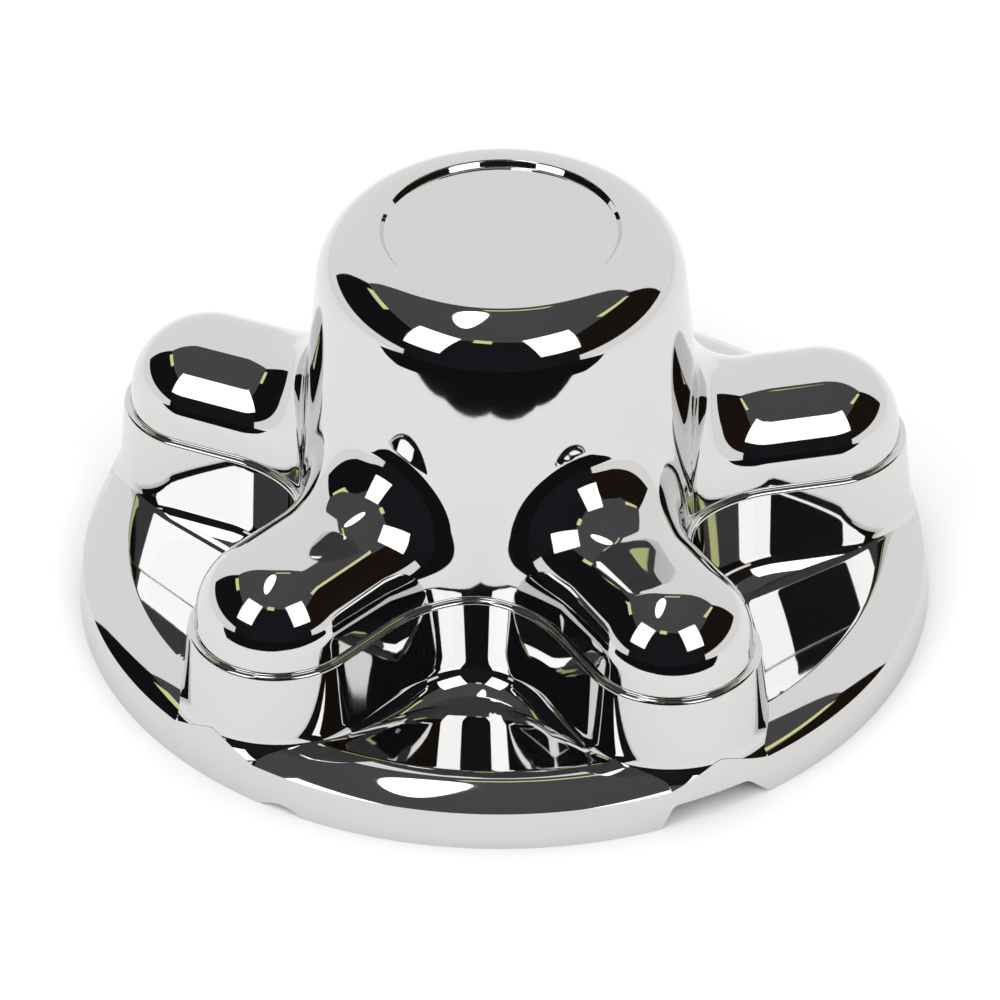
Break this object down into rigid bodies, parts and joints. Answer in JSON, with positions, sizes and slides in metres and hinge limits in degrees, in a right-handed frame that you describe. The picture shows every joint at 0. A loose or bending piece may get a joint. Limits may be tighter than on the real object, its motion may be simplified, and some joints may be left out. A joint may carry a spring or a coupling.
{
  "type": "trailer hub cover",
  "caption": "Chrome-plated moulded cover that presses over the lug nuts of a trailer wheel, with a tall hub cap in the middle and a pod over each nut.",
  "frame": {"origin": "centre of the rim's lower edge, on the hub axis", "axes": "+Z along the hub axis towards the hub's top, one lug pod points along +Y"},
  "size_m": [0.152, 0.152, 0.076],
  "materials": {
    "hub_cover": "bright chrome plating on moulded plastic, mirror gloss"
  },
  "bodies": {
    "root": {"hub_cover": "hub_cover"}
  },
  "joints": []
}
